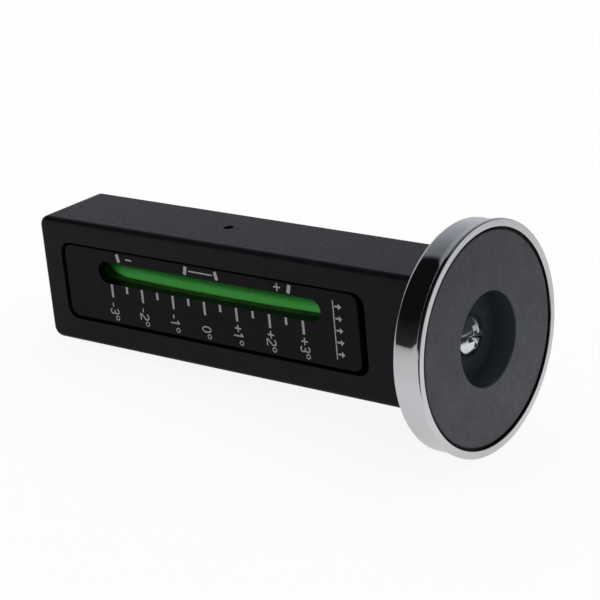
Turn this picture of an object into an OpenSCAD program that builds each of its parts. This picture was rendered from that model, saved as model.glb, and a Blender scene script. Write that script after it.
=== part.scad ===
/* [Bar] */
// magnet face to the bar's far end
overall_length = 150; // [140:0.1:180]
// bar height, along Z
bar_height = 38.1; // [36:0.1:44]
// bar depth, along Y
bar_depth = 25.4; // [24:0.1:32]
// radius of the bar's end corners, seen from the front
end_corner_r = 3.2; // [1:0.1:6]
// radius of the bar's other edges
edge_r = 1.5; // [0.4:0.1:2.5]

/* [Pocket in the bar] */
// distance of the pocket's middle from the magnet face
dial_centre = 86.4; // [84:0.1:90]
// pocket length, along X
pocket_length = 111.6; // [108:0.1:114]
// pocket height, along Z
pocket_height = 23.8; // [23.4:0.1:26]
// pocket middle above the bar's middle
pocket_rise = 0.15; // [-0.5:0.05:1]
// radius of the pocket's corners
pocket_corner_r = 3.8; // [3:0.1:8]
// wall left behind the pocket
pocket_floor = 4; // [3:0.1:5]

/* [Dial plate] */
// plate face below the bar's front face
plate_recess = 0.1; // [0.1:0.05:0.6]
// plate thickness
plate_thickness = 2.8; // [2:0.1:3.6]
// gap between plate and pocket, far end
gap_far = 1.35; // [1.2:0.05:3]
// gap between plate and pocket, magnet end
gap_near = 2.4; // [1.2:0.05:3]
// gap between plate and pocket, top
gap_top = 0.5; // [0.5:0.1:1.2]
// gap between plate and pocket, bottom
gap_bottom = 0.95; // [0.5:0.05:1.6]
// radius of the plate's corners
plate_corner_r = 3; // [2:0.1:6]
// bevel round the plate's front edge
plate_bevel = 0.2; // [0.1:0.1:0.8]
// slot length, end to end
slot_length = 82.1; // [78:0.1:86]
// slot's middle from the pocket's middle, towards the far end
slot_shift = 0.25; // [0:0.05:1]
// slot height
slot_height = 6.6; // [5:0.1:6.8]
// slot and vial above the bar's middle
slot_rise = 4.7; // [4.4:0.1:5]

/* [Scale] */
// length of scale for one degree
degree_pitch = 11.82; // [11.5:0.02:12.2]
// degrees marked each way
scale_degrees = 3; // [2:1:3]
// printed zero and pivot from the pocket's middle, towards the far end
zero_shift = 1.1; // [0:0.1:1.5]
// whole-degree tick length
major_tick = 4; // [3:0.1:5]
// half-degree tick length
minor_tick = 2.15; // [1.5:0.05:3]
// tick width
tick_width = 0.8; // [0.6:0.1:1.4]
// tick's distance from the slot
tick_gap = 0.1; // [0.1:0.05:0.6]
// depth that a tick is let into the plate
tick_depth = 0.15; // [0.1:0.05:0.3]
// height that a tick stands above the plate
tick_proud = 0.05; // [0.02:0.01:0.08]

/* [Vial] */
// vial tube diameter
tube_d = 7; // [6.6:0.1:7.2]
// vial tube wall
tube_wall = 0.9; // [0.7:0.05:1.1]
// gap between the tube's crown and the plate
tube_front_gap = 0.3; // [0.2:0.05:0.6]
// white bedding behind the tube
bed_thickness = 0.6; // [0.4:0.05:0.8]
// bedding above and below the tube
bed_side = 0.15; // [0.1:0.05:0.3]
// carrier wall beyond each end of the tube
tube_end_wall = 1.2; // [1:0.1:2]
// end plug length
plug_length = 2; // [1.5:0.1:4]
// bubble length
bubble_length = 8.4; // [7:0.1:10]
// bubble diameter
bubble_d = 3.6; // [3:0.1:3.8]
// room round the bubble in the fluid
bubble_room = 0.1; // [0.1:0.02:0.2]
// room between the bubble's channel and the tube's bore
film = 0.1; // [0.06:0.02:0.2]

/* [Carrier and pivot] */
// carrier's outline inside the plate's
carrier_inset = 0.6; // [0.4:0.1:1]
// carrier depth behind the plate
carrier_depth = 14.8; // [14:0.1:15.6]
// pivot pin diameter
pin_d = 3; // [2:0.1:3.4]
// pin ends below the bar's faces
pin_recess = 1.4; // [0.8:0.1:2.5]
// wall between the vial's bedding and the pin
pin_room = 1.5; // [0.6:0.1:1.8]
// running clearance of the pin in the carrier, on radius
pin_clearance = 0.05; // [0.02:0.01:0.1]
// boss round the pin, which guides the carrier in the pocket
pivot_boss_d = 6; // [5:0.1:7]
// side play of the boss, each side
pivot_side_play = 0.1; // [0.05:0.01:0.2]
// recesses in the carrier's back: first edge from the pivot
core_start = 7; // [5:0.5:9]
// recesses in the carrier's back: last edge from the pivot
core_end = 34; // [30:0.5:36]
// recesses in the carrier's back: depth
core_depth = 4.4; // [3:0.1:4.8]
// recesses in the carrier's back: wall at the top
core_wall = 1.8; // [1.4:0.1:2.4]

/* [Plate screws] */
// inner pair of screws from the pivot
screw_inner = 16; // [14:0.5:20]
// outer pair of screws from the pivot
screw_outer = 48; // [46:0.5:49]
// screw row below the vial
screw_drop = 10; // [9.4:0.1:10.6]
// plate boss diameter
boss_d = 4.8; // [4.4:0.1:5.2]
// plate boss length
boss_length = 4; // [3:0.1:5]
// room round the boss in the carrier
boss_room = 0.1; // [0.05:0.01:0.2]
// web of the carrier under the screw head
screw_web = 3; // [2.4:0.1:3.6]
// screw thread diameter
plate_screw_d = 2.5; // [2:0.1:2.6]
// room round the screw in the web
plate_screw_room = 0.2; // [0.1:0.05:0.3]
// screw head diameter
plate_head_d = 4.6; // [4:0.1:5]
// screw head height
plate_head_h = 1.8; // [1.4:0.1:2.2]
// room round the screw head
plate_head_room = 0.3; // [0.2:0.05:0.4]
// screw length under the head
plate_screw_length = 6; // [5:0.5:6.5]

/* [Calibration screws] */
// distance of each calibration screw from the pivot
cal_arm = 40; // [38:0.5:43]
// calibration screw thread diameter
cal_d = 3.9; // [3.5:0.1:4.2]
// clearance in the insert, on radius
cal_clearance = 0.05; // [0.02:0.01:0.1]
// calibration screw length
cal_length = 5; // [4.6:0.1:5.2]
// socket size across its flats
cal_socket = 2; // [1.5:0.1:2.2]
// socket depth
cal_socket_depth = 2.2; // [1.6:0.1:2.4]
// wall of the brass insert
insert_wall = 0.8; // [0.6:0.05:1.2]
// insert end below the bar's back face
insert_recess = 0.2; // [0.1:0.05:0.5]
// pad diameter
pad_d = 3.4; // [3:0.1:3.8]
// pad thickness
pad_thickness = 1.5; // [1:0.1:1.8]
// gap between pad and carrier, and pad and screw
pad_gap = 0.05; // [0.03:0.01:0.08]
// pad stem diameter
stem_d = 1.6; // [1.2:0.1:1.8]
// pad stem length
stem_length = 1.2; // [0.8:0.1:1.4]
// clearance round the stem, on radius
stem_clearance = 0.05; // [0.02:0.01:0.1]

/* [Magnet] */
// magnet cup diameter over its lip
magnet_d = 63.5; // [58:0.1:66]
// cup height, rim to back
cup_height = 9; // [8.6:0.1:11]
// cup base thickness
cup_base = 1.8; // [1.4:0.1:2.2]
// width of the rim's face
rim_width = 2.15; // [1.4:0.05:2.4]
// height of the lip at the rim
lip_height = 1; // [0.7:0.1:1.5]
// step from the lip down to the wall
lip_step = 0.6; // [0.3:0.05:0.8]
// rounding of the lip
lip_r = 0.35; // [0.15:0.05:0.4]
// rounding at the cup's back
cup_back_r = 1.3; // [0.6:0.1:2]
// filling between ferrite and cup wall
filling_width = 0.8; // [0.5:0.05:1.6]
// filling surface below the rim
filling_recess = 1; // [0.5:0.1:1.5]
// ferrite face below the rim
ferrite_recess = 0.3; // [0.1:0.05:0.5]
// bevel of the ferrite's edges
ferrite_bevel = 0.25; // [0.1:0.05:0.4]
// diameter of the well through the ferrite
well_d = 25.6; // [22:0.1:28]

/* [Magnet screw] */
// magnet screw thread diameter
magnet_screw_d = 6; // [5:0.1:6.4]
// magnet screw length under the head
magnet_screw_length = 16; // [14:0.5:18]
// magnet screw head diameter
magnet_head_d = 11.2; // [10:0.1:12.5]
// magnet screw head height
magnet_head_h = 3; // [2.7:0.1:3.8]
// height of the head's straight edge
magnet_head_edge = 1.2; // [1:0.1:2]
// reach of the cross recess, tip to tip
cross_reach = 6.8; // [5.5:0.1:7.5]
// width of the cross recess
cross_width = 1.3; // [1:0.1:1.6]
// depth of the cross recess
cross_depth = 2.2; // [1.6:0.1:2.6]
// room round the screw in the cup base
cup_hole_room = 0.3; // [0.1:0.05:0.5]
// wall of the insert in the bar
magnet_insert_wall = 1.6; // [1:0.1:2.2]
// length of the insert in the bar
magnet_insert_length = 12; // [10:0.5:13]
// insert below the bar's end face
magnet_insert_recess = 0.2; // [0.1:0.05:0.5]
// hole left past the screw's tip
tip_room = 2; // [1:0.1:3]

/* [Hidden] */
$fn = 64;
eps = 0.01;
hex_sides = 6;

// bar, from the far end to the back of the magnet cup
bar_x0 = -overall_length;
bar_x1 = -cup_height;
bar_length = bar_x1 - bar_x0;
bar_mid = (bar_x0 + bar_x1) / 2;
front_y = -bar_depth / 2;
back_y = bar_depth / 2;

// pocket
pocket_x0 = -dial_centre - pocket_length / 2;
pocket_x1 = -dial_centre + pocket_length / 2;
pocket_z0 = pocket_rise - pocket_height / 2;
pocket_z1 = pocket_rise + pocket_height / 2;
floor_y = back_y - pocket_floor;

// dial plate
plate_x0 = pocket_x0 + gap_far;
plate_x1 = pocket_x1 - gap_near;
plate_z0 = pocket_z0 + gap_bottom;
plate_z1 = pocket_z1 - gap_top;
plate_y0 = front_y + plate_recess;
plate_y1 = plate_y0 + plate_thickness;
slot_x = -dial_centre - slot_shift;

// pivot: under the printed zero and behind the vial
pivot_x = -dial_centre - zero_shift;
pivot_y = plate_y1 + tube_front_gap + tube_d + bed_thickness + pin_room + pin_d / 2;

// vial: its curve's radius makes one degree of tilt one degree of scale
vial_r = degree_pitch * 180 / PI;
vial_x = pivot_x;
vial_z = slot_rise;
crown_y = plate_y1 + tube_front_gap + tube_d / 2;
curve_y = crown_y + vial_r;
bore_d = tube_d - 2 * tube_wall;
tube_half = min(plate_x1 - vial_x, vial_x - plate_x0) - carrier_inset - tube_end_wall;
fluid_half = tube_half - plug_length;
bubble_lift = bore_d / 2 - film - bubble_room - bubble_d / 2;
channel_half = fluid_half - film;
bubble_stop = channel_half - bubble_room - bubble_length / 2;

// carrier
carrier_x0 = plate_x0 + carrier_inset;
carrier_x1 = plate_x1 - carrier_inset;
carrier_z0 = plate_z0 + carrier_inset;
carrier_z1 = plate_z1 - carrier_inset;
carrier_y1 = plate_y1 + carrier_depth;
screw_z = vial_z - screw_drop;
screw_xs = [-screw_outer, -screw_inner, screw_inner, screw_outer];
web_y0 = plate_y1 + boss_length;
web_y1 = web_y0 + screw_web;

// calibration screws
pad_y0 = carrier_y1 + pad_gap;
pad_y1 = pad_y0 + pad_thickness;
cal_y0 = pad_y1 + pad_gap;
insert_d = cal_d + 2 * cal_clearance + 2 * insert_wall;

// magnet
rim_r = magnet_d / 2;
cup_bore_r = rim_r - rim_width;
cup_wall_r = rim_r - lip_step;
seat_x = -(cup_height - cup_base);
ferrite_r = cup_bore_r - filling_width;
magnet_insert_r = magnet_screw_d / 2 + magnet_insert_wall;
screw_tip_x = seat_x - magnet_screw_length;

// a flat outline drawn in X and Z, made solid from y0 to y1
module along_y(y0, y1) {
    translate([0, y1, 0]) rotate([90, 0, 0]) linear_extrude(y1 - y0) children();
}

// a flat outline drawn in Y and Z, made solid from x0 to x1
module along_x(x0, x1) {
    translate([x0, 0, 0]) rotate([90, 0, 90]) linear_extrude(x1 - x0) children();
}

// a flat outline drawn in X and Y, made solid from z0 to z1
module along_z(z0, z1) {
    translate([0, 0, z0]) linear_extrude(z1 - z0) children();
}

// a rectangle between two corners with round corners
module rounded(x0, x1, y0, y1, r) {
    translate([x0 + r, y0]) square([x1 - x0 - 2 * r, y1 - y0]);
    translate([x0, y0 + r]) square([x1 - x0, y1 - y0 - 2 * r]);
    for (x = [x0 + r, x1 - r], y = [y0 + r, y1 - r]) translate([x, y]) circle(r);
}

// a round bar along Y, from y0 to y1
module rod_y(x, z, d, y0, y1) {
    along_y(y0, y1) translate([x, z]) circle(d / 2);
}

// a solid of revolution about X: the profile is drawn as (radius, x)
module turned() {
    rotate([0, 90, 0]) rotate_extrude($fn = 128) children();
}

// a length of the vial's curve: the profile is drawn as (radius, z) with the
// tube's centre at the origin, and from and to are lengths along the curve
module along_vial(from, to) {
    turn = 180 / PI / vial_r;
    translate([vial_x, curve_y, vial_z])
        rotate([0, 0, 270 + from * turn])
            rotate_extrude(angle = (to - from) * turn, $fn = 1440)
                translate([vial_r, 0]) children();
}

// one of the bar's end corners, with the same rounding at its front and back
module end_corner() {
    rotate([90, 0, 0]) rotate_extrude() {
        square([end_corner_r - edge_r, bar_depth / 2]);
        square([end_corner_r, bar_depth / 2 - edge_r]);
        translate([end_corner_r - edge_r, bar_depth / 2 - edge_r]) circle(edge_r);
    }
}

module bar() {
    far = bar_x0 + end_corner_r;
    near = bar_x1 - end_corner_r;
    top = bar_height / 2 - end_corner_r;
    along_x(far, near) rounded(front_y, back_y, -bar_height / 2, bar_height / 2, edge_r);
    along_z(-top, top) rounded(bar_x0, bar_x1, front_y, back_y, edge_r);
    for (x = [far, near], z = [-top, top]) translate([x, 0, z]) {
        end_corner();
        mirror([0, 1, 0]) end_corner();
    }
}

module housing() {
    color("#26262a") difference() {
        bar();
        along_y(front_y - eps, floor_y)
            rounded(pocket_x0, pocket_x1, pocket_z0, pocket_z1, pocket_corner_r);
        along_z(-bar_height / 2 - eps, bar_height / 2 + eps)
            translate([pivot_x, pivot_y]) circle(pin_d / 2);
        for (side = [-1, 1])
            rod_y(pivot_x + side * cal_arm, 0, insert_d, floor_y - eps, back_y + eps);
        along_x(screw_tip_x - tip_room, bar_x1 + eps) circle(magnet_screw_d / 2 + cup_hole_room);
        along_x(bar_x1 - magnet_insert_recess - magnet_insert_length, bar_x1 + eps)
            circle(magnet_insert_r);
    }
}

module magnet_insert() {
    color("goldenrod")
        along_x(bar_x1 - magnet_insert_recess - magnet_insert_length, bar_x1 - magnet_insert_recess)
            difference() {
                circle(magnet_insert_r);
                circle(magnet_screw_d / 2);
            }
}

module cal_inserts() {
    color("goldenrod") for (side = [-1, 1])
        along_y(floor_y, back_y - insert_recess)
            translate([pivot_x + side * cal_arm, 0]) difference() {
                circle(insert_d / 2);
                circle(cal_d / 2 + cal_clearance);
            }
}

module pivot_pin() {
    color("silver")
        along_z(-bar_height / 2 + pin_recess, bar_height / 2 - pin_recess)
            translate([pivot_x, pivot_y]) circle(pin_d / 2);
}

// the cup's section: wall, rolled lip and rounded back
module cup_section() {
    difference() {
        union() {
            translate([0, -cup_height]) square([cup_wall_r - cup_back_r, cup_base]);
            translate([cup_bore_r - eps, -cup_height + cup_back_r])
                square([cup_wall_r - cup_bore_r + eps, cup_height - cup_back_r]);
            translate([cup_wall_r - cup_back_r, -cup_height + cup_back_r]) circle(cup_back_r);
            translate([0, seat_x - cup_base + cup_back_r - eps])
                square([cup_bore_r, max(eps, cup_base - cup_back_r + eps)]);
            lip_section();
        }
        translate([0, seat_x]) square([cup_bore_r, cup_height]);
        translate([0, -cup_height - eps])
            square([magnet_screw_d / 2 + cup_hole_room, cup_base + 2 * eps]);
    }
}

module lip_section() {
    translate([cup_bore_r, -lip_height])
        square([rim_r - lip_r - cup_bore_r, lip_height]);
    translate([cup_bore_r, -lip_height + lip_r])
        square([rim_r - cup_bore_r, lip_height - 2 * lip_r]);
    for (x = [-lip_r, lip_r - lip_height]) translate([rim_r - lip_r, x]) circle(lip_r);
}

module magnet_cup() {
    color("gainsboro") turned() cup_section();
}

module magnet_ring() {
    top = -ferrite_recess;
    color("#4a4a4e") turned() polygon([
        [well_d / 2, seat_x], [ferrite_r, seat_x],
        [ferrite_r, top - ferrite_bevel], [ferrite_r - ferrite_bevel, top],
        [well_d / 2 + ferrite_bevel, top], [well_d / 2, top - ferrite_bevel]]);
}

module filling_ring() {
    color("#101012") turned() translate([ferrite_r, seat_x])
        square([filling_width, -filling_recess - seat_x]);
}

module magnet_screw() {
    rise = magnet_head_h - magnet_head_edge;
    dome_r = (pow(magnet_head_d / 2, 2) + pow(rise, 2)) / (2 * rise);
    head_top = seat_x + magnet_head_h;
    color("silver") difference() {
        turned() union() {
            intersection() {
                translate([0, seat_x]) square([magnet_head_d / 2, magnet_head_h]);
                translate([0, head_top - dome_r]) circle(dome_r, $fn = 256);
            }
            translate([0, screw_tip_x]) square([magnet_screw_d / 2, magnet_screw_length]);
        }
        for (turn = [0, 90]) rotate([turn, 0, 0])
            translate([head_top - cross_depth, -cross_reach / 2, -cross_width / 2])
                cube([cross_depth + eps, cross_reach, cross_width]);
    }
}

// the plate's outline with a bevelled front edge, in exact flats and cones
module bevelled_plate() {
    r = plate_corner_r;
    b = plate_bevel;
    along_z(plate_z0 + r, plate_z1 - r) polygon([
        [plate_x0, plate_y1], [plate_x0, plate_y0 + b], [plate_x0 + b, plate_y0],
        [plate_x1 - b, plate_y0], [plate_x1, plate_y0 + b], [plate_x1, plate_y1]]);
    along_x(plate_x0 + r, plate_x1 - r) polygon([
        [plate_y1, plate_z0], [plate_y0 + b, plate_z0], [plate_y0, plate_z0 + b],
        [plate_y0, plate_z1 - b], [plate_y0 + b, plate_z1], [plate_y1, plate_z1]]);
    for (x = [plate_x0 + r, plate_x1 - r], z = [plate_z0 + r, plate_z1 - r])
        translate([x, plate_y1, z]) rotate([90, 0, 0]) {
            cylinder(h = plate_thickness - b, r = r);
            translate([0, 0, plate_thickness - b]) cylinder(h = b, r1 = r, r2 = r - b);
        }
}

// the ticks' outlines, just below the slot
module tick_outlines() {
    for (i = [-2 * scale_degrees : 2 * scale_degrees]) {
        length = i % 2 == 0 ? major_tick : minor_tick;
        translate([pivot_x + i * degree_pitch / 2 - tick_width / 2,
                   vial_z - slot_height / 2 - tick_gap - length])
            square([tick_width, length]);
    }
}

module dial_plate() {
    color("#2c2c30") difference() {
        union() {
            bevelled_plate();
            for (x = screw_xs)
                rod_y(pivot_x + x, screw_z, boss_d, plate_y1 - eps, web_y0);
        }
        along_y(plate_y0 - eps, plate_y1 + eps)
            rounded(slot_x - slot_length / 2, slot_x + slot_length / 2,
                    vial_z - slot_height / 2, vial_z + slot_height / 2, slot_height / 2 - eps);
        along_y(plate_y0 - eps, plate_y0 + tick_depth) tick_outlines();
        for (x = screw_xs)
            rod_y(pivot_x + x, screw_z, plate_screw_d, web_y1 - plate_screw_length, web_y0 + eps);
    }
}

module dial_ticks() {
    color("white") along_y(plate_y0 - tick_proud, plate_y0 + tick_depth) tick_outlines();
}

module carrier() {
    r = plate_corner_r - carrier_inset;
    color("#3a3a40") difference() {
        union() {
            along_y(plate_y1, carrier_y1)
                rounded(carrier_x0, carrier_x1, carrier_z0, carrier_z1, r);
            along_z(pocket_z0 + pivot_side_play, pocket_z1 - pivot_side_play)
                translate([pivot_x, pivot_y]) circle(pivot_boss_d / 2);
        }
        along_z(pocket_z0, pocket_z1) translate([pivot_x, pivot_y]) circle(pin_d / 2 + pin_clearance);
        along_vial(-tube_half, tube_half)
            translate([-tube_d / 2 - bed_thickness, -tube_d / 2 - bed_side])
                square([3 * tube_d, tube_d + 2 * bed_side]);
        for (side = [-1, 1])
            along_y(carrier_y1 - core_depth, carrier_y1 + eps)
                rounded(pivot_x + (side > 0 ? core_start : -core_end),
                        pivot_x + (side > 0 ? core_end : -core_start),
                        screw_z + plate_head_d / 2 + plate_head_room + core_wall,
                        carrier_z1 - core_wall, 1);
        for (x = screw_xs) {
            rod_y(pivot_x + x, screw_z, boss_d + 2 * boss_room, plate_y1 - eps, web_y0);
            rod_y(pivot_x + x, screw_z, plate_screw_d + 2 * plate_screw_room, web_y0 - eps, web_y1 + eps);
            rod_y(pivot_x + x, screw_z, plate_head_d + 2 * plate_head_room, web_y1, carrier_y1 + eps);
        }
    }
}

module plate_screws() {
    color("silver") for (x = screw_xs) difference() {
        union() {
            rod_y(pivot_x + x, screw_z, plate_screw_d, web_y1 - plate_screw_length, web_y1 + eps);
            rod_y(pivot_x + x, screw_z, plate_head_d, web_y1, web_y1 + plate_head_h);
        }
        for (turn = [0, 90]) translate([pivot_x + x, web_y1 + plate_head_h, screw_z])
            rotate([0, turn, 0]) cube([plate_head_d * 0.6, plate_head_h, plate_head_d * 0.14], center = true);
    }
}

module vial_tube() {
    color("lightcyan") along_vial(-tube_half, tube_half) difference() {
        circle(tube_d / 2);
        circle(bore_d / 2);
    }
}

module vial_plug_far() {
    color("#202024") along_vial(-tube_half, -fluid_half) circle(bore_d / 2);
}

module vial_plug_near() {
    color("#202024") along_vial(fluid_half, tube_half) circle(bore_d / 2);
}

module vial_bed() {
    color("white") along_vial(-tube_half, tube_half) difference() {
        translate([-tube_d / 2 - bed_thickness, -tube_d / 2 - bed_side])
            square([tube_d / 2 + bed_thickness, tube_d + 2 * bed_side]);
        circle(tube_d / 2);
    }
}

module vial_fluid() {
    color("limegreen") difference() {
        along_vial(-fluid_half, fluid_half) circle(bore_d / 2);
        along_vial(-channel_half, channel_half)
            translate([bubble_lift, 0]) circle(bubble_d / 2 + bubble_room);
    }
}

// the bubble is stored at the magnet end of its travel
module bubble() {
    color("honeydew") translate([vial_x, curve_y, vial_z])
        rotate([0, 0, bubble_stop * 180 / PI / vial_r])
            translate([0, -vial_r - bubble_lift, 0]) rotate([0, 90, 0])
                rotate_extrude() translate([0, -bubble_length / 2]) intersection() {
                    union() {
                        translate([0, bubble_d / 2])
                            square([bubble_d / 2, bubble_length - bubble_d]);
                        for (end = [bubble_d / 2, bubble_length - bubble_d / 2])
                            translate([0, end]) circle(bubble_d / 2);
                    }
                    square([bubble_d, bubble_length]);
                }
}

module cal_pad(side) {
    x = pivot_x + side * cal_arm;
    color("tan") {
        rod_y(x, 0, pad_d, pad_y0, pad_y1);
        rod_y(x, 0, stem_d, pad_y1 - eps, pad_y1 + stem_length);
    }
}

module cal_screw(side) {
    x = pivot_x + side * cal_arm;
    end = cal_y0 + cal_length;
    color("dimgray") difference() {
        rod_y(x, 0, cal_d, cal_y0, end);
        rod_y(x, 0, stem_d + 2 * stem_clearance, cal_y0 - eps, pad_y1 + stem_length + pad_gap);
        along_y(end - cal_socket_depth, end + eps)
            translate([x, 0]) circle(cal_socket / 2 / cos(180 / hex_sides), $fn = hex_sides);
    }
}

module cal_pad_far() { cal_pad(-1); }
module cal_pad_near() { cal_pad(1); }
module cal_screw_far() { cal_screw(-1); }
module cal_screw_near() { cal_screw(1); }

housing();
magnet_insert();
cal_inserts();
pivot_pin();
magnet_cup();
magnet_ring();
filling_ring();
magnet_screw();
dial_plate();
dial_ticks();
carrier();
plate_screws();
vial_tube();
vial_plug_far();
vial_plug_near();
vial_bed();
vial_fluid();
bubble();
cal_pad_far();
cal_pad_near();
cal_screw_far();
cal_screw_near();
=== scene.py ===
import math

import bmesh
import bpy
from mathutils import Matrix, Vector


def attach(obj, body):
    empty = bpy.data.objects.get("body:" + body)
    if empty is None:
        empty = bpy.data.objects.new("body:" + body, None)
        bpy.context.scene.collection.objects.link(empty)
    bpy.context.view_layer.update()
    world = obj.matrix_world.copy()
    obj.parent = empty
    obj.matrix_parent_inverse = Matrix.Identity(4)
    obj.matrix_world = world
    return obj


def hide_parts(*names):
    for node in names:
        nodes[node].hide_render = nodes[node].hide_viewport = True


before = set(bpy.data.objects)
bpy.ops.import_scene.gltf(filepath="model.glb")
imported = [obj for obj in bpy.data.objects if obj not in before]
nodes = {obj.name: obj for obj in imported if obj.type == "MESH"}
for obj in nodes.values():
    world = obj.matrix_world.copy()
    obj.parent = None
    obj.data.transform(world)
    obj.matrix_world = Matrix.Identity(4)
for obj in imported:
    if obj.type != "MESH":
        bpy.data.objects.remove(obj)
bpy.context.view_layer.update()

MM = 0.001

# the dial's scale and the vial's curve in the frame, in millimetres
DEGREE = 11.82
ZERO_X = -87.5
VIAL_R = DEGREE * 180 / math.pi
VIAL_Z = 4.7
CURVE_Y = -9.8 + 0.3 + 3.5 + VIAL_R
TUBE_R, TUBE_BORE_R, TUBE_HALF = 3.5, 2.5, 51.5
SPIRIT_R, PLUG_DEPTH = 2.6, 2

# the spirit's painted light: a painted glow in its front band, deep green beside it and nearly
# black as painted shade
SPIRIT_PAINTED_GLOW = (0.035, 0.200, 0.035, 1)
SPIRIT_PAINTED_DEEP_GREEN = (0.006, 0.090, 0.008, 1)
SPIRIT_PAINTED_SHADE = (0.006, 0.020, 0.005, 1)
GLOW_FROM, GLOW_TO, DEEP_AT, SHADE_AT = -60, -20, 6, 28    # degrees round the column
# where a painted shadow of the slot's far end darkens the column, in metres along it, leaning by
# its slant
SHADE_FROM, SHADE_TO, SHADE_SLANT, SHADE_LEVEL = -0.1280, -0.1228, 1.1, 0.03


# ---------------------------------------------------------------- node helpers
def new_tree(name):
    mat = bpy.data.materials.new(name)
    mat.use_nodes = True
    tree = mat.node_tree
    tree.nodes.clear()
    return mat, tree


def add(tree, kind, inputs=None, **props):
    """A node with its properties and input values; a value that is a socket is linked."""
    node = tree.nodes.new(kind)
    for key, value in props.items():
        setattr(node, key, value)
    for key, value in (inputs or {}).items():
        if isinstance(value, bpy.types.NodeSocket):
            tree.links.new(value, node.inputs[key])
        else:
            node.inputs[key].default_value = value
    return node


def place(tree, stretch=(1, 1, 1)):
    """The piece's own coordinates, in metres, stretched for directional grain."""
    coord = add(tree, "ShaderNodeTexCoord")
    if stretch == (1, 1, 1):
        return coord.outputs["Object"]
    return add(tree, "ShaderNodeMapping",
               {"Vector": coord.outputs["Object"], "Scale": stretch}).outputs[0]


def noise(tree, where, scale, detail=3.0, rough=0.55):
    return add(tree, "ShaderNodeTexNoise",
               {"Vector": where, "Scale": scale, "Detail": detail,
                "Roughness": rough}).outputs["Fac"]


def spread(tree, value, low, high, start=0.3, end=0.7):
    return add(tree, "ShaderNodeMapRange",
               {"Value": value, "From Min": start, "From Max": end,
                "To Min": low, "To Max": high}).outputs[0]


def ease(tree, value, low, high, start, end):
    """Like spread, with a soft beginning and end."""
    return add(tree, "ShaderNodeMapRange",
               {"Value": value, "From Min": start, "From Max": end,
                "To Min": low, "To Max": high}, interpolation_type="SMOOTHSTEP").outputs[0]


def calc(tree, operation, first, second):
    return add(tree, "ShaderNodeMath", {0: first, 1: second}, operation=operation).outputs[0]


def pick(tree, fac, off, on):
    """A value between off and on, by fac."""
    return add(tree, "ShaderNodeMix", {0: fac, 2: off, 3: on}, data_type="FLOAT").outputs[0]


def ramp_of(tree, value, first, last, inner):
    """A colour ramp through stops of (position, colour)."""
    ramp = add(tree, "ShaderNodeValToRGB", {0: value})
    elements = ramp.color_ramp.elements
    elements[0].position, elements[0].color = first
    elements[1].position, elements[1].color = last
    for at, colour in inner:
        elements.new(at).color = colour
    return ramp.outputs[0]


def grey(level):
    return level, level, level, 1


def blend_colour(tree, fac, dark, light):
    node = add(tree, "ShaderNodeMix", data_type="RGBA")
    tree.links.new(fac, node.inputs[0])
    node.inputs[6].default_value = (*dark, 1)
    node.inputs[7].default_value = (*light, 1)
    return node.outputs[2]


def bump(tree, height, distance, strength=1.0, normal=None):
    inputs = {"Height": height, "Distance": distance, "Strength": strength}
    if normal is not None:
        inputs["Normal"] = normal
    return add(tree, "ShaderNodeBump", inputs).outputs[0]


def finish_with(mat, tree, **inputs):
    """Ends a material with the principled shader; Base_Color stands for its Base Color."""
    shader = add(tree, "ShaderNodeBsdfPrincipled",
                 {k.replace("_", " "): v for k, v in inputs.items()})
    add(tree, "ShaderNodeOutputMaterial", {"Surface": shader.outputs[0]})
    return mat


# ------------------------------------------------------------------- materials
def moulded_black():
    """Fine-grained satin black of the bar."""
    mat, t = new_tree("moulded_black")
    at = place(t)
    grain = noise(t, at, 5200, 2.0)
    patch = noise(t, at, 160, 3.0)
    rough = spread(t, noise(t, at, 900, 4.0), 0.30, 0.42)
    colour = blend_colour(t, spread(t, patch, 0, 1), (0.0040, 0.0039, 0.0050),
                          (0.0062, 0.0060, 0.0074))
    return finish_with(mat, t, Base_Color=colour, Roughness=rough,
                       Specular_IOR_Level=0.11, Specular_Tint=(1.0, 0.88, 1.0, 1),
                       Normal=bump(t, grain, 0.000018, 0.5))


def satin_plate():
    """Satin black of the dial plate, a little darker than the bar."""
    mat, t = new_tree("satin_plate")
    at = place(t)
    grain = noise(t, at, 5200, 2.0)
    rough = spread(t, noise(t, at, 700, 4.0), 0.34, 0.48)
    colour = blend_colour(t, spread(t, noise(t, at, 220), 0, 1),
                          (0.0031, 0.0030, 0.0037), (0.0050, 0.0047, 0.0057))
    return finish_with(mat, t, Base_Color=colour, Roughness=rough,
                       Specular_IOR_Level=0.09, Specular_Tint=(0.90, 0.82, 0.96, 1),
                       Normal=bump(t, grain, 0.000015, 0.35))


def white_print():
    """Thin white ink, greyer where the black shows through."""
    mat, t = new_tree("white_print")
    at = place(t)
    thin = spread(t, noise(t, at, 1500, 4.0), 0, 1, 0.25, 0.6)
    colour = blend_colour(t, thin, (0.22, 0.22, 0.225), (0.33, 0.33, 0.335))
    return finish_with(mat, t, Base_Color=colour, Roughness=0.6,
                       Specular_IOR_Level=0.2,
                       Normal=bump(t, noise(t, at, 6000, 2.0), 0.00001, 0.5))


def chrome():
    """Bright nickel-chrome plate with faint turning marks and handling haze."""
    mat, t = new_tree("chrome_plate")
    at = place(t)
    haze = spread(t, noise(t, at, 110, 4.0), 0.045, 0.10)
    wave = noise(t, place(t, (0.6, 1, 1)), 240, 3.0)
    fine = noise(t, place(t, (8, 1, 1)), 2500, 2.0)
    first = bump(t, wave, 0.00004, 0.25)
    colour = blend_colour(t, spread(t, noise(t, at, 60), 0, 1), (0.58, 0.59, 0.61),
                          (0.64, 0.645, 0.655))
    return finish_with(mat, t, Base_Color=colour, Metallic=1.0, Roughness=haze,
                       Normal=bump(t, fine, 0.000004, 0.3, first))


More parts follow.
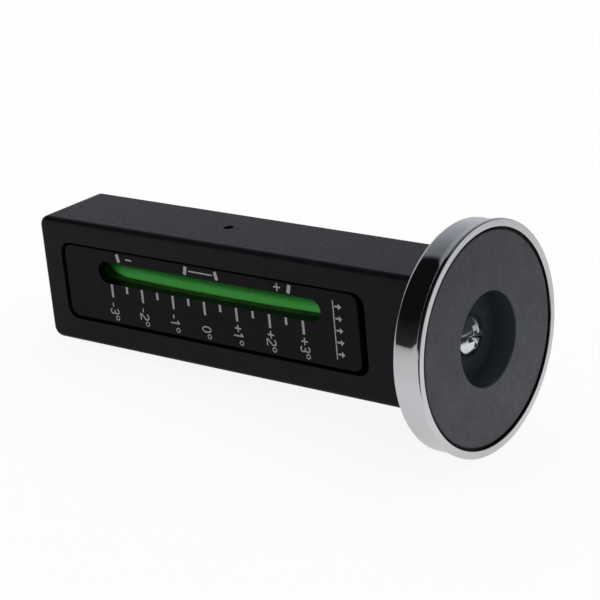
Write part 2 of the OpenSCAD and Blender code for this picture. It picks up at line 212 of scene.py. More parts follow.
def ferrite():
    """Ground ferrite face; the bore and the edges, turned away from +X, get a darker bluish grey as
    painted shade.
    """
    mat, t = new_tree("ground_ferrite")
    at = place(t)
    lines = noise(t, place(t, (1, 1, 14)), 420, 4.0)
    speck = add(t, "ShaderNodeTexVoronoi",
                {"Vector": at, "Scale": 2600.0}).outputs["Distance"]
    ground = blend_colour(t, spread(t, noise(t, at, 130, 5.0), 0, 1),
                          (0.031, 0.035, 0.042), (0.046, 0.050, 0.059))
    # painted shade: faces turned away from +X take a darker bluish grey
    facing = add(t, "ShaderNodeNewGeometry")
    split = add(t, "ShaderNodeSeparateXYZ", {0: facing.outputs["Normal"]})
    side = spread(t, split.outputs["X"], 1.0, 0.0, 0.3, 0.9)
    colour = add(t, "ShaderNodeMix", data_type="RGBA")
    t.links.new(side, colour.inputs[0])
    t.links.new(ground, colour.inputs[6])
    colour.inputs[7].default_value = (0.028, 0.035, 0.046, 1)
    first = bump(t, lines, 0.000012, 0.35)
    return finish_with(mat, t, Base_Color=colour.outputs[2],
                       Roughness=spread(t, noise(t, at, 700, 4.0), 0.42, 0.56),
                       Specular_IOR_Level=0.5,
                       Normal=bump(t, speck, 0.00002, 0.3, first))


def plated_steel(name, dark, light, rough_low, rough_high):
    """Turned metal with fine marks across its axis."""
    mat, t = new_tree(name)
    at = place(t)
    turned = noise(t, place(t, (1, 7, 7)), 1400, 3.0)
    colour = blend_colour(t, spread(t, noise(t, at, 900, 4.0), 0, 1), dark, light)
    return finish_with(mat, t, Base_Color=colour, Metallic=1.0,
                       Roughness=spread(t, noise(t, at, 1600, 3.0), rough_low, rough_high),
                       Normal=bump(t, turned, 0.000015, 0.4))


def dull_plastic(name, dark, light, rough_low=0.5, rough_high=0.7):
    """Matt moulded or cast filling, with a slight grain."""
    mat, t = new_tree(name)
    at = place(t)
    colour = blend_colour(t, spread(t, noise(t, at, 300, 4.0), 0, 1), dark, light)
    return finish_with(mat, t, Base_Color=colour,
                       Roughness=spread(t, noise(t, at, 1200, 3.0), rough_low, rough_high),
                       Specular_IOR_Level=0.3,
                       Normal=bump(t, noise(t, at, 3000, 2.0), 0.00003, 0.5))


def clear_acrylic():
    mat, t = new_tree("clear_acrylic")
    at = place(t)
    return finish_with(mat, t, Base_Color=(0.93, 0.98, 0.94, 1), IOR=1.49,
                       Transmission_Weight=1.0, Specular_Tint=(0.10, 0.13, 0.10, 1),
                       Roughness=spread(t, noise(t, at, 500, 3.0), 0.01, 0.05),
                       Normal=bump(t, noise(t, at, 900, 2.0), 0.00001, 0.2))


def green_spirit():
    """Green spirit: a painted glow along the column's front and painted shade round its sides."""
    mat, t = new_tree("green_spirit")
    at = place(t)
    split = add(t, "ShaderNodeSeparateXYZ", {0: at}).outputs
    along = calc(t, "ADD", split["X"], -ZERO_X * MM)
    back = calc(t, "ADD", split["Y"], -CURVE_Y * MM)
    flat = add(t, "ShaderNodeCombineXYZ", {0: along, 1: back}).outputs[0]
    reach = add(t, "ShaderNodeVectorMath", {0: flat}, operation="LENGTH").outputs["Value"]
    forward = calc(t, "ADD", reach, -VIAL_R * MM)
    rise = calc(t, "ADD", split["Z"], -VIAL_Z * MM)
    angle = calc(t, "ARCTAN2", rise, forward)
    turn = spread(t, angle, 0.0, 1.0, math.radians(-90), math.radians(90))
    cloud = spread(t, noise(t, place(t, (0.2, 1, 1)), 260, 2.0), -0.012, 0.012)
    # the emission by the angle round the column: painted glow in front, painted shade round the
    # sides
    painted_glow = ramp_of(t, calc(t, "ADD", turn, cloud), (0.0, SPIRIT_PAINTED_DEEP_GREEN),
                  ((SHADE_AT + 90) / 180, SPIRIT_PAINTED_SHADE),
                  [((at_angle + 90) / 180, colour)
                   for at_angle, colour in ((GLOW_FROM, SPIRIT_PAINTED_GLOW), (GLOW_TO, SPIRIT_PAINTED_GLOW),
                                            (DEEP_AT, SPIRIT_PAINTED_DEEP_GREEN))])
    body = blend_colour(t, spread(t, noise(t, at, 400), 0, 1),
                        (0.002, 0.014, 0.003), (0.003, 0.020, 0.004))
    # painted shadow: the glow dims towards the column's far end, where the slot's end shades it
    inward = calc(t, "ADD", split["X"], calc(t, "MULTIPLY", rise, SHADE_SLANT))
    lit = ease(t, inward, SHADE_LEVEL, 1.0, SHADE_FROM, SHADE_TO)
    return finish_with(mat, t, Base_Color=body, Alpha=0.8,
                       Emission_Color=painted_glow, Emission_Strength=lit,
                       Roughness=spread(t, noise(t, at, 500), 0.2, 0.35),
                       Specular_IOR_Level=0.1)


def air_bubble():
    """The bubble as it shows through the green spirit, all painted light: a glowing pale middle
    inside a painted dark outline.
    """
    mat, t = new_tree("air_bubble")
    edge = add(t, "ShaderNodeLayerWeight", {"Blend": 0.35}).outputs["Facing"]
    # painted light: pale and glowing where the bubble faces the view, painted shade at its outline
    glow = blend_colour(t, spread(t, edge, 0, 1, 0.25, 0.75),
                        (0.36, 1.0, 0.40), (0.004, 0.030, 0.004))
    return finish_with(mat, t, Base_Color=(0.02, 0.08, 0.02, 1), Specular_IOR_Level=0.2,
                       Emission_Color=glow,
                       Emission_Strength=spread(t, noise(t, place(t), 700, 2.0), 1.0, 1.3),
                       Roughness=0.2)


HOUSING = moulded_black()
PLATE = satin_plate()
PRINT = white_print()
CHROME = chrome()
FERRITE = ferrite()
ZINC = plated_steel("zinc_steel", (0.50, 0.53, 0.55), (0.66, 0.68, 0.69), 0.16, 0.32)
HEAD_ZINC = plated_steel("bright_zinc", (0.60, 0.63, 0.65), (0.72, 0.74, 0.75), 0.08, 0.16)
STEEL = plated_steel("ground_steel", (0.36, 0.36, 0.37), (0.50, 0.50, 0.51), 0.25, 0.42)
BLACK_STEEL = plated_steel("black_steel", (0.030, 0.030, 0.032), (0.055, 0.055, 0.058),
                           0.35, 0.55)
BRASS = plated_steel("turned_brass", (0.56, 0.40, 0.16), (0.70, 0.52, 0.24), 0.22, 0.40)
CARRIER = dull_plastic("carrier_plastic", (0.007, 0.006, 0.007), (0.012, 0.010, 0.012))
RUBBER = dull_plastic("black_rubber", (0.008, 0.008, 0.008), (0.015, 0.015, 0.015), 0.7, 0.9)
RESIN = dull_plastic("potting_resin", (0.0015, 0.0015, 0.0016), (0.003, 0.003, 0.0032),
                     0.55, 0.8)
BEDDING = dull_plastic("white_bedding", (0.62, 0.64, 0.60), (0.75, 0.76, 0.72), 0.6, 0.8)
CLEAR = clear_acrylic()
GREEN = green_spirit()
BUBBLE = air_bubble()
# white bedding shown dark olive: painted shade with painted green light from the spirit
LIP_PAINTED_GREEN_SHADE = dull_plastic("bedding_painted_green_shade", (0.010, 0.052, 0.003), (0.020, 0.095, 0.007),
                       0.55, 0.8)
# the inside of the cup, its floor in the well: dark matt grey in place of chrome, as painted shade
WELL_PAINTED_SHADE = dull_plastic("well_painted_shade", (0.022, 0.027, 0.034), (0.030, 0.036, 0.045),
                          0.6, 0.85)

FINISHES = {
    "housing": HOUSING, "magnet_insert": BRASS, "cal_inserts": BRASS, "pivot_pin": STEEL,
    "magnet_cup": CHROME, "magnet_ring": FERRITE, "filling_ring": RESIN,
    "magnet_screw": ZINC, "dial_plate": PLATE, "dial_ticks": PRINT, "carrier": CARRIER,
    "plate_screws": ZINC, "vial_tube": CLEAR, "vial_plug_far": RUBBER,
    "vial_plug_near": RUBBER, "vial_bed": BEDDING, "vial_fluid": GREEN, "bubble": BUBBLE,
    "cal_pad_far": BRASS, "cal_pad_near": BRASS, "cal_screw_far": BLACK_STEEL,
    "cal_screw_near": BLACK_STEEL,
}
for name, mat in FINISHES.items():
    mesh = nodes[name].data
    mesh.materials.clear()
    mesh.materials.append(mat)


# -------------------------------------------------------------- printed marks
def prism(bm, outline, face_y, back_y):
    """A closed prism: outline is (x, z) in mm, counter-clockwise seen from -Y."""
    front = [bm.verts.new((x * MM, face_y * MM, z * MM)) for x, z in outline]
    back = [bm.verts.new((x * MM, back_y * MM, z * MM)) for x, z in outline]
    bm.faces.new(front)
    bm.faces.new(back[::-1])
    count = len(outline)
    for i in range(count):
        j = (i + 1) % count
        bm.faces.new((front[j], front[i], back[i], back[j]))


def hoop(bm, outer, inner, face_y, back_y):
    """A closed ring between two outlines with the same number of points."""
    rows = [[bm.verts.new((x * MM, y * MM, z * MM)) for x, z in outline]
            for outline, y in ((outer, face_y), (inner, face_y),
                               (inner, back_y), (outer, back_y))]
    count = len(outer)
    for a, b in zip(rows, rows[1:] + rows[:1]):
        for i in range(count):
            j = (i + 1) % count
            bm.faces.new((a[i], a[j], b[j], b[i]))


def arc(cx, cy, radius, start, end, steps=20, squash=1.0):
    return [(cx + radius * math.cos(math.radians(start + (end - start) * i / steps)),
             cy + squash * radius * math.sin(math.radians(start + (end - start) * i / steps)))
            for i in range(steps + 1)]


def ellipse(cx, cy, half_w, half_h, steps=48):
    return [(cx + half_w * math.cos(2 * math.pi * i / steps),
             cy + half_h * math.sin(2 * math.pi * i / steps)) for i in range(steps)]


def bar_shape(x0, y0, x1, y1, width):
    """A straight bar of that width between two points."""
    length = math.hypot(x1 - x0, y1 - y0)
    nx, ny = -(y1 - y0) / length * width / 2, (x1 - x0) / length * width / 2
    return [(x0 + nx, y0 + ny), (x0 - nx, y0 - ny), (x1 - nx, y1 - ny), (x1 + nx, y1 + ny)]


# the marks' sizes, in millimetres
DIGIT_H, DIGIT_W = 3.45, 2.0
STROKE, SIGN_STROKE, RING_STROKE, LINE = 0.4, 0.42, 0.3, 0.36
SIGN, MINUS = 2.3, 1.15
RING_R = 0.78


def digit_zero():
    return [("hoop", ellipse(DIGIT_W / 2, DIGIT_H / 2, DIGIT_W / 2, DIGIT_H / 2),
             ellipse(DIGIT_W / 2, DIGIT_H / 2, DIGIT_W / 2 - STROKE, DIGIT_H / 2 - STROKE))]


def digit_one():
    left, right = 0.78, 0.78 + STROKE
    return [("solid", [(left, 0), (right, 0), (right, DIGIT_H), (left + 0.12, DIGIT_H),
                       (0.06, DIGIT_H - 0.62), (0.30, DIGIT_H - 1.06), (left, DIGIT_H - 0.76)])]


def digit_two():
    radius = (DIGIT_W - STROKE) / 2
    cx, cy = DIGIT_W / 2, DIGIT_H - STROKE / 2 - radius
    end = -48
    outer = arc(cx, cy, radius + STROKE / 2, 165, end)
    inner = arc(cx, cy, radius - STROKE / 2, end, 165)
    heading = (math.sin(math.radians(end)), -math.cos(math.radians(end)))
    low_right = outer[-1][0] + heading[0] * (outer[-1][1] - STROKE) / -heading[1]
    foot = inner[0][1] - inner[0][0] * heading[1] / heading[0]
    return [("solid", outer + [(low_right, STROKE), (DIGIT_W, STROKE), (DIGIT_W, 0), (0, 0),
                               (0, foot)] + inner)]


def digit_three():
    radius = (DIGIT_H - STROKE) / 4
    half = STROKE / 2
    cx = DIGIT_W - radius - half
    low, high, middle = half + radius, DIGIT_H - half - radius, DIGIT_H / 2
    notch = math.degrees(math.asin(radius / (radius + half)))
    return [("solid", arc(cx, high, radius + half, 160, -notch)
             + arc(cx, low, radius + half, notch, -160)
             + arc(cx, low, radius - half, -160, 90)
             + [(cx - 0.42, middle - half), (cx - 0.42, middle + half)]
             + arc(cx, high, radius - half, -90, 160))]


def sign_plus(cx, cy, size, width):
    s, w = size / 2, width / 2
    return [("solid", [(cx - w, cy - s), (cx + w, cy - s), (cx + w, cy - w), (cx + s, cy - w),
                       (cx + s, cy + w), (cx + w, cy + w), (cx + w, cy + s), (cx - w, cy + s),
                       (cx - w, cy + w), (cx - s, cy + w), (cx - s, cy - w), (cx - w, cy - w)])]


def sign_minus(cx, cy, length, width):
    return [("solid", bar_shape(cx - length / 2, cy, cx + length / 2, cy, width))]


def degree_ring(cx, cy, outer, width):
    inner = outer - width
    return [("hoop", ellipse(cx, cy, outer, outer, 28), ellipse(cx, cy, inner, inner, 28))]


def signed_area(outline):
    return sum(a[0] * b[1] - b[0] * a[1] for a, b in zip(outline, outline[1:] + outline[:1])) / 2


def draw(bm, shapes, to_plate, face_y, back_y):
    """Puts shapes, drawn in their own (right, up) directions, on the plate."""
    for kind, *outlines in shapes:
        turned = []
        for outline in outlines:
            on_plate = [to_plate(*p) for p in outline]
            turned.append(on_plate if signed_area(on_plate) > 0 else on_plate[::-1])
        if kind == "solid":
            prism(bm, turned[0], face_y, back_y)
        else:
            hoop(bm, turned[0], turned[1], face_y, back_y)


def mesh_piece(name, bm, mat, body, smooth_angle=None):
    bmesh.ops.recalc_face_normals(bm, faces=bm.faces[:])
    mesh = bpy.data.meshes.new(name)
    bm.to_mesh(mesh)
    bm.free()
    mesh.materials.append(mat)
    if smooth_angle is not None:
        mesh.shade_smooth()
        mesh.set_sharp_from_angle(angle=math.radians(smooth_angle))
    piece = bpy.data.objects.new(name, mesh)
    bpy.context.scene.collection.objects.link(piece)
    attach(piece, body)
    return piece


PLATE_FACE = -12.6
INK = 0.05
INK_SEAT = 0.10
NUMERAL_Z = -6.0


def mark(name, shapes, to_plate):
    """Prints shapes on the plate as one piece."""
    bm = bmesh.new()
    draw(bm, shapes, to_plate, PLATE_FACE - INK, PLATE_FACE + INK_SEAT)
    mesh_piece(name, bm, PRINT, "dial")


DIGITS = (digit_zero, digit_one, digit_two, digit_three)
for value in range(-3, 4):
    base_x = ZERO_X + value * DEGREE - DIGIT_H / 2

    def on_dial(right, up, base=base_x):
        return base + up, NUMERAL_Z - right

    shapes = DIGITS[abs(value)]()
    if value < 0:
        shapes += sign_minus(NUMERAL_Z + 5.0, DIGIT_H / 2 - 0.35, MINUS, SIGN_STROKE)
    if value > 0:
        shapes += sign_plus(NUMERAL_Z + 4.75, DIGIT_H / 2, 2.25, SIGN_STROKE)
    shapes += degree_ring(NUMERAL_Z + 9.05, DIGIT_H / 2 + 0.88, RING_R, RING_STROKE)
    label = {-1: "minus", 0: "zero", 1: "plus"}[(value > 0) - (value < 0)]
    mark("mark_%s_%d" % (label, abs(value)), shapes, on_dial)


def upright(right, up):
    return right, up


def wheel(cx, cy, lean, width=1.15, height=2.6):
    """A small wheel seen from the front, leaning by that many degrees."""
    c, s = math.cos(math.radians(lean)), math.sin(math.radians(lean))
    r = 0.35
    points = []
    for x, y, start in ((1, 1, 0), (-1, 1, 90), (-1, -1, 180), (1, -1, 270)):
        points += arc(x * (width / 2 - r), y * (height / 2 - r), r, start, start + 90, 6)
    return [("solid", [(cx + x * c - y * s, cy + x * s + y * c) for x, y in points])]


SIGN_Z = 9.75
LEAN = 14
mark("mark_lean_in", wheel(-119.3, SIGN_Z, LEAN) + sign_minus(-115.1, SIGN_Z, SIGN, SIGN_STROKE),
     upright)
mark("mark_axle", wheel(-93.4, SIGN_Z, -LEAN) + wheel(-82.0, SIGN_Z, LEAN)
     + [("solid", bar_shape(-92.1, SIGN_Z, -83.3, SIGN_Z, STROKE))], upright)
mark("mark_lean_out", sign_plus(-60.1, SIGN_Z, SIGN, SIGN_STROKE) + wheel(-56.0, SIGN_Z, -LEAN),
     upright)

ARROWS, ARROW_TOP, ARROW_STEP = 5, 7.2, 3.425
ARROW_FOOT, ARROW_NECK, ARROW_TIP = -40.6, -39.4, -38.3
SHAFT, HEAD = 0.25, 0.9
arrows = [("solid", bar_shape(-41.1, 8.8, -41.1, -8.1, LINE))]
for i in range(ARROWS):
    z = ARROW_TOP - ARROW_STEP * i
    arrows.append(("solid", [(ARROW_FOOT, z - SHAFT), (ARROW_NECK, z - SHAFT),
                             (ARROW_NECK, z - HEAD), (ARROW_TIP, z), (ARROW_NECK, z + HEAD),
                             (ARROW_NECK, z + SHAFT), (ARROW_FOOT, z + SHAFT)]))
mark("mark_this_way", arrows, upright)


# ---------------------------------------------------- turned and swept pieces
def lathe(bm, profile, mats, count=192):
    """Turns a closed profile of (radius, x) in mm about X; mats has one index a profile edge."""
    rings = []
    for radius, x in profile:
        ring = []
        for i in range(count if radius > 0 else 1):
            a = 2 * math.pi * i / count
            ring.append(bm.verts.new((x * MM, radius * math.cos(a) * MM,
                                      radius * math.sin(a) * MM)))
        rings.append(ring)
    for k, (a, b) in enumerate(zip(rings, rings[1:] + rings[:1])):
        if len(a) == 1 and len(b) == 1:
            continue
        for i in range(count):
            j = (i + 1) % count
            if len(a) == 1:
                corners = (a[0], b[j], b[i])
            elif len(b) == 1:
                corners = (a[i], a[j], b[0])
            else:
                corners = (a[i], a[j], b[j], b[i])
            bm.faces.new(corners).material_index = mats[k]


CUP_R, CUP_WALL_R, CUP_BORE_R, CUP_HOLE_R = 31.75, 31.15, 29.6, 3.3
CUP_BACK, CUP_FLOOR = -9.0, -7.2


def cup_profile():
    """The cup's section, with its rolled lip and rounded back, and which edges inside take the
    well's painted shade.
    """
    points, dark = [], []

    def run(items, inside=False):
        points.extend(items)
        dark.extend([1 if inside else 0] * len(items))

    run(arc(CUP_BORE_R + 0.18, -0.18, 0.18, 180, 90, 5))
    run(arc(CUP_R - 0.35, -0.35, 0.35, 90, 0, 10))
    run(arc(CUP_R - 0.3, -0.85, 0.3, 0, -80, 8))
    run([(31.22, -1.22), (CUP_WALL_R, -1.42)])
    run([(CUP_WALL_R, -3.0), (CUP_WALL_R, -5.0)])
    run(arc(CUP_WALL_R - 1.3, CUP_BACK + 1.3, 1.3, 0, -90, 12))
    run([(20.0, CUP_BACK), (10.0, CUP_BACK), (CUP_HOLE_R, CUP_BACK)])
    run([(CUP_HOLE_R, CUP_FLOOR), (CUP_BORE_R, CUP_FLOOR)], inside=True)
    run([(CUP_BORE_R, -1.3)])
    return points, dark


bm = bmesh.new()
profile, dark = cup_profile()
lathe(bm, profile, dark)
cup = mesh_piece("magnet_cup_turned", bm, CHROME, "bar", smooth_angle=35)
cup.data.materials.append(WELL_PAINTED_SHADE)
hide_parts("magnet_cup")


def sweep(bm, radius, start, end, around=96, along=120, inner=None):
    """A round bar or tube along the vial's curve between two lengths from its zero."""
    loops = [radius] if inner is None else [radius, inner]
    shells = []
    for r in loops:
        rings = []
        for k in range(along + 1):
            a = (start + (end - start) * k / along) / VIAL_R
            ring = []
            for i in range(around):
                b = 2 * math.pi * i / around
                reach = VIAL_R + r * math.cos(b)
                ring.append(bm.verts.new(((ZERO_X + reach * math.sin(a)) * MM,
                                          (CURVE_Y - reach * math.cos(a)) * MM,
                                          (VIAL_Z + r * math.sin(b)) * MM)))
            rings.append(ring)
        shells.append(rings)
        for a_ring, b_ring in zip(rings, rings[1:]):
            for i in range(around):
                j = (i + 1) % around
                bm.faces.new((a_ring[i], a_ring[j], b_ring[j], b_ring[i]))
    for end_at in (0, -1):
        if inner is None:
            bm.faces.new(shells[0][end_at])
        else:
            outer_ring, inner_ring = shells[0][end_at], shells[1][end_at]
            for i in range(around):
                j = (i + 1) % around
                bm.faces.new((outer_ring[i], outer_ring[j], inner_ring[j], inner_ring[i]))


bm = bmesh.new()
sweep(bm, TUBE_R, -TUBE_HALF, TUBE_HALF, inner=TUBE_BORE_R)
tube = mesh_piece("vial_tube_drawn", bm, CLEAR, "dial", smooth_angle=40)
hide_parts("vial_tube")

bm = bmesh.new()
sweep(bm, SPIRIT_R, -TUBE_HALF + PLUG_DEPTH, TUBE_HALF - PLUG_DEPTH)
spirit = mesh_piece("vial_spirit", bm, GREEN, "dial", smooth_angle=40)
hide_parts("vial_fluid")


def sweep_section(bm, section, start, end, along=100):
    """A closed (y, z) section, in mm at the vial's zero, carried along its curve."""
    rings = []
    for k in range(along + 1):
        a = (start + (end - start) * k / along) / VIAL_R
        rings.append([bm.verts.new(((ZERO_X + (CURVE_Y - y) * math.sin(a)) * MM,
                                    (CURVE_Y - (CURVE_Y - y) * math.cos(a)) * MM, z * MM))
                      for y, z in section])
    count = len(section)
    for a_ring, b_ring in zip(rings, rings[1:]):
        for i in range(count):
            j = (i + 1) % count
            bm.faces.new((a_ring[i], a_ring[j], b_ring[j], b_ring[i]))
    bm.faces.new(rings[0])
    bm.faces.new(rings[-1])


# the fillet of bedding on which the tube lies, below its front, dark olive as painted shade with
# painted green light from the spirit
tube_y = CURVE_Y - VIAL_R
LIP_R = 3.53
under = [(tube_y - LIP_R * math.sin(math.radians(a)), VIAL_Z - LIP_R * math.cos(math.radians(a)))
         for a in range(2, 39, 4)]
toe = [(-8.35, 1.62), (-8.75, 1.30), (-9.25, 1.12), (-9.25, 1.07), (tube_y - 0.12, 1.07)]
bm = bmesh.new()
sweep_section(bm, under + toe, -TUBE_HALF + 1, TUBE_HALF - 1)
lip = mesh_piece("bedding_lip", bm, LIP_PAINTED_GREEN_SHADE, "dial", smooth_angle=40)


def screw_profile():
    """Pan head with a domed top and a plain shank, from the top's middle to the tip's middle."""
    seat, edge, rise, half_d = -7.2, 1.2, 1.8, 5.6
    dome = (half_d ** 2 + rise ** 2) / (2 * rise)
    points = [(0.0, seat + edge + rise)]
    for i in range(1, 17):
        r = (half_d - 0.15) * i / 16
        points.append((r, seat + edge + rise - dome + math.sqrt(dome ** 2 - r ** 2)))
    points += [(half_d, seat + edge - 0.12), (half_d, seat + 0.15), (half_d - 0.15, seat)]
    points += [(3.0, seat), (3.0, -22.4), (2.4, -23.2), (0.0, -23.2)]
    return points


RECESS_TOP, RECESS_DEPTH, RECESS_REACH, RECESS_WIDTH = -4.2, 2.6, 7.2, 1.65


def tapered_slot(bm, turn, top, depth, reach, width):
    """A cutter for one slot of a cross recess, which narrows towards its bottom."""
    c, s = math.cos(math.radians(turn)), math.sin(math.radians(turn))
    corners = []
    for x, r, w in ((top + 0.4, reach * 1.06, width * 1.03),
                    (top - depth, reach * 0.42, width * 0.72)):
        for y, z in ((-r / 2, -w / 2), (r / 2, -w / 2), (r / 2, w / 2), (-r / 2, w / 2)):
            corners.append(bm.verts.new((x * MM, (y * c - z * s) * MM, (y * s + z * c) * MM)))
    for face in ((0, 1, 2, 3), (7, 6, 5, 4), (0, 4, 5, 1),
                 (1, 5, 6, 2), (2, 6, 7, 3), (3, 7, 4, 0)):
        bm.faces.new([corners[i] for i in face])
    bmesh.ops.recalc_face_normals(bm, faces=bm.faces[:])


bm = bmesh.new()
outline = screw_profile()
lathe(bm, outline, [0] * len(outline), 96)
screw = mesh_piece("magnet_screw_turned", bm, HEAD_ZINC, "bar")
cutters = []
for turn in (0, 90):
    bm = bmesh.new()
    tapered_slot(bm, turn, RECESS_TOP, RECESS_DEPTH, RECESS_REACH, RECESS_WIDTH)
    cutter_mesh = bpy.data.meshes.new("cross_cutter")
    bm.to_mesh(cutter_mesh)
    bm.free()
    cutter = bpy.data.objects.new("cross_cutter", cutter_mesh)
    bpy.context.scene.collection.objects.link(cutter)
    cut = screw.modifiers.new("cross", "BOOLEAN")
    cut.operation, cut.solver, cut.object = "DIFFERENCE", "EXACT", cutter
    cutters.append(cutter)
soften = screw.modifiers.new("soft_edges", "BEVEL")
soften.width, soften.segments = 0.00008, 2
soften.limit_method, soften.angle_limit = "ANGLE", math.radians(35)
bpy.context.view_layer.update()
evaluated = screw.evaluated_get(bpy.context.evaluated_depsgraph_get())
shaped = bpy.data.meshes.new_from_object(evaluated)
screw.modifiers.clear()
screw.data = shaped
shaped.shade_smooth()
shaped.set_sharp_from_angle(angle=math.radians(35))
for cutter in cutters:
    bpy.data.objects.remove(cutter)
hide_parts("magnet_screw")


# ------------------------------------------------------------ floor and lights
# the floor touches the magnet's rim and the bar's far end, each a rounded edge, in metres
RIM_CENTRE = Vector((-0.00035, 0, -0.0314))
RIM_ROUND = 0.00035
END_CENTRE = Vector((-0.1468, 0, -0.01585))
END_ROUND = 0.0032
span = RIM_CENTRE - END_CENTRE
tilt = math.atan2(-span.z, span.x) - math.asin((END_ROUND - RIM_ROUND) / math.hypot(span.x, span.z))
down = Vector((-math.sin(tilt), 0, -math.cos(tilt)))
CLEARANCE = 0.00002
drop = down.dot(RIM_CENTRE) + RIM_ROUND + CLEARANCE

floor_mesh = bpy.data.meshes.new("floor")
FLOOR_HALF = 4.0
floor_mesh.from_pydata([(x * FLOOR_HALF, y * FLOOR_HALF, 0)
                        for x, y in ((-1, -1), (1, -1), (1, 1), (-1, 1))],
                       [], [(0, 1, 2, 3)])
floor = bpy.data.objects.new("floor", floor_mesh)
bpy.context.scene.collection.objects.link(floor)
floor.location = down * drop
floor.rotation_euler = (0, tilt, 0)

# how white the floor is to straight and mirrored rays, and where mirrored rays see it painted dark
FLOOR_SEEN, FLOOR_MIRRORED, FLOOR_PAST = 0.9, 0.55, 0.03
FLOOR_EDGE, FLOOR_EDGE_SKEW = (0.052, 0.085), 0.5
floor_mat, t = new_tree("pale_floor")
path = add(t, "ShaderNodeLightPath").outputs
mirrored = calc(t, "MULTIPLY", path["Is Glossy Ray"], FLOOR_MIRRORED)
straight = calc(t, "MAXIMUM", path["Is Camera Ray"], path["Is Transmission Ray"])
straight = calc(t, "MULTIPLY", straight, FLOOR_SEEN)
spot = add(t, "ShaderNodeNewGeometry").outputs["Position"]
across = add(t, "ShaderNodeSeparateXYZ", {0: spot}).outputs
side_on = calc(t, "SUBTRACT", across["X"], calc(t, "MULTIPLY", across["Y"], FLOOR_EDGE_SKEW))
past_edge = spread(t, side_on, 0.0, 1.0, *FLOOR_EDGE)
shaded = calc(t, "MULTIPLY", past_edge, path["Is Glossy Ray"])
share = calc(t, "MAXIMUM", calc(t, "MAXIMUM", mirrored, straight), shaded)
matt = add(t, "ShaderNodeBsdfDiffuse", {"Color": (0.9, 0.9, 0.9, 1)})
away = add(t, "ShaderNodeVectorMath", {0: spot}, operation="LENGTH").outputs["Value"]
# to mirrored rays the floor shows a painted pool of light, brightest near the object and fading
# with distance, and is painted dark past the slanted edge
fall = ramp_of(t, away, (0.05, grey(1)), (1.0, grey(0.32)),
               ((0.11, grey(0.72)), (0.25, grey(0.60))))
shown = calc(t, "MULTIPLY", fall, calc(t, "SUBTRACT", 1.0, past_edge))
shown = calc(t, "MAXIMUM", shown, FLOOR_PAST)
fade = pick(t, path["Is Glossy Ray"], 1.0, shown)
glow = add(t, "ShaderNodeEmission", {"Color": (1, 1, 1, 1), "Strength": fade})
both = add(t, "ShaderNodeMixShader", {0: share, 1: matt.outputs[0], 2: glow.outputs[0]})
add(t, "ShaderNodeOutputMaterial", {"Surface": both.outputs[0]})
floor_mesh.materials.append(floor_mat)

# the studio by direction: the backdrop's edge and lean, and the flag that shades its right
BACKDROP_EDGE, BACKDROP_LEAN = (-0.10, 0.01), -0.19
FLAG_EDGE, FLAG_FOOT, FLAG_DEPTH = (0.36, 0.50), (-0.09, -0.05), 0.93
HORIZON = (-0.01, 0.01)
LOW_BAND, DIFFUSE_LEVEL = 0.85, 0.75
DARK_LOW, DARK_HIGH, DARK_TOP = 0.035, 0.007, 0.42
world = bpy.data.worlds.new("studio")
bpy.context.scene.world = world
world.use_nodes = True
world.cycles.sampling_method = "NONE"
t = world.node_tree
t.nodes.clear()
coord = add(t, "ShaderNodeTexCoord")
split = add(t, "ShaderNodeSeparateXYZ", {0: coord.outputs["Generated"]}).outputs
height = split["Z"]
behind = calc(t, "ADD", split["Y"], calc(t, "MULTIPLY", height, BACKDROP_LEAN))
back_half = ease(t, behind, 0.0, 1.0, *BACKDROP_EDGE)
to_right = ease(t, split["X"], 0.0, 1.0, *FLAG_EDGE)
raised = ease(t, height, 0.0, FLAG_DEPTH, *FLAG_FOOT)
unflagged = calc(t, "SUBTRACT", 1.0, calc(t, "MULTIPLY", to_right, raised))
bright = ramp_of(t, height, (0.0, grey(0.68)), (1.0, grey(0.12)),
                 ((0.30, grey(0.56)), (0.64, grey(0.37)), (0.80, grey(0.20))))
lit = calc(t, "MULTIPLY", calc(t, "MULTIPLY", back_half, unflagged), bright)
dim = spread(t, height, DARK_LOW, DARK_HIGH, 0.0, DARK_TOP)
above = spread(t, height, 0.0, 1.0, *HORIZON)
gloss = pick(t, above, calc(t, "MULTIPLY", unflagged, LOW_BAND), calc(t, "MAXIMUM", lit, dim))
path = add(t, "ShaderNodeLightPath").outputs
level = pick(t, path["Is Glossy Ray"], DIFFUSE_LEVEL, gloss)
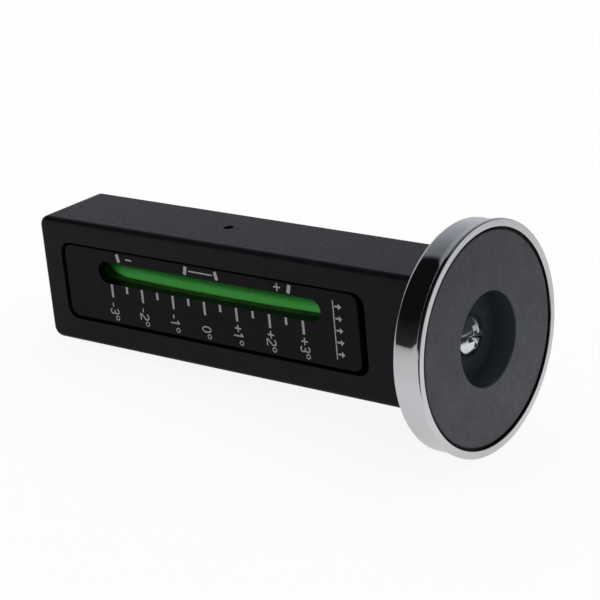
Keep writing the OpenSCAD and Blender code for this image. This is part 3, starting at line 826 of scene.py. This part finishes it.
seen = calc(t, "MAXIMUM", path["Is Camera Ray"], path["Is Transmission Ray"])
total = pick(t, seen, level, 1.0)
cool = calc(t, "MULTIPLY", path["Is Glossy Ray"], above)
tone = blend_colour(t, cool, (1.0, 1.0, 1.0), (0.96, 1.0, 1.075))
sky = add(t, "ShaderNodeBackground", {"Color": tone, "Strength": total})
add(t, "ShaderNodeOutputWorld", {"Surface": sky.outputs[0]})

lamp_data = bpy.data.lights.new("overhead_softbox", "AREA")
lamp_data.shape = "RECTANGLE"
lamp_data.size, lamp_data.size_y = 0.9, 0.7
lamp_data.energy = 2.6
lamp = bpy.data.objects.new("overhead_softbox", lamp_data)
bpy.context.scene.collection.objects.link(lamp)
lamp.location = (-0.10, 0.35, 0.85)
to_object = Vector((-0.07, 0, 0)) - lamp.location
lamp.rotation_euler = to_object.to_track_quat("-Z", "Y").to_euler()
lamp.visible_glossy = False


# ---------------------------------------------------------------------- camera
CAMERA_AT = Vector((0.290288, -0.418665, 0.197028))
AZIMUTH, ELEVATION = math.radians(40.1536), math.radians(19.6610)
ROLL = math.radians(-5.4802)
LENS, SENSOR = 125.757, 36
ahead = Vector((-math.sin(AZIMUTH) * math.cos(ELEVATION),
                math.cos(AZIMUTH) * math.cos(ELEVATION), -math.sin(ELEVATION)))
side = ahead.cross(Vector((0, 0, 1))).normalized()
upward = side.cross(ahead)
right = side * math.cos(ROLL) + upward * math.sin(ROLL)
top = upward * math.cos(ROLL) - side * math.sin(ROLL)
camera_data = bpy.data.cameras.new("camera")
camera_data.sensor_width = SENSOR
camera_data.lens = LENS
camera_data.clip_start, camera_data.clip_end = 0.01, 20
camera = bpy.data.objects.new("camera", camera_data)
bpy.context.scene.collection.objects.link(camera)
camera.matrix_world = Matrix((
    (right.x, top.x, -ahead.x, CAMERA_AT.x),
    (right.y, top.y, -ahead.y, CAMERA_AT.y),
    (right.z, top.z, -ahead.z, CAMERA_AT.z),
    (0, 0, 0, 1)))
bpy.context.scene.camera = camera
bpy.context.scene.view_settings.view_transform = "Standard"
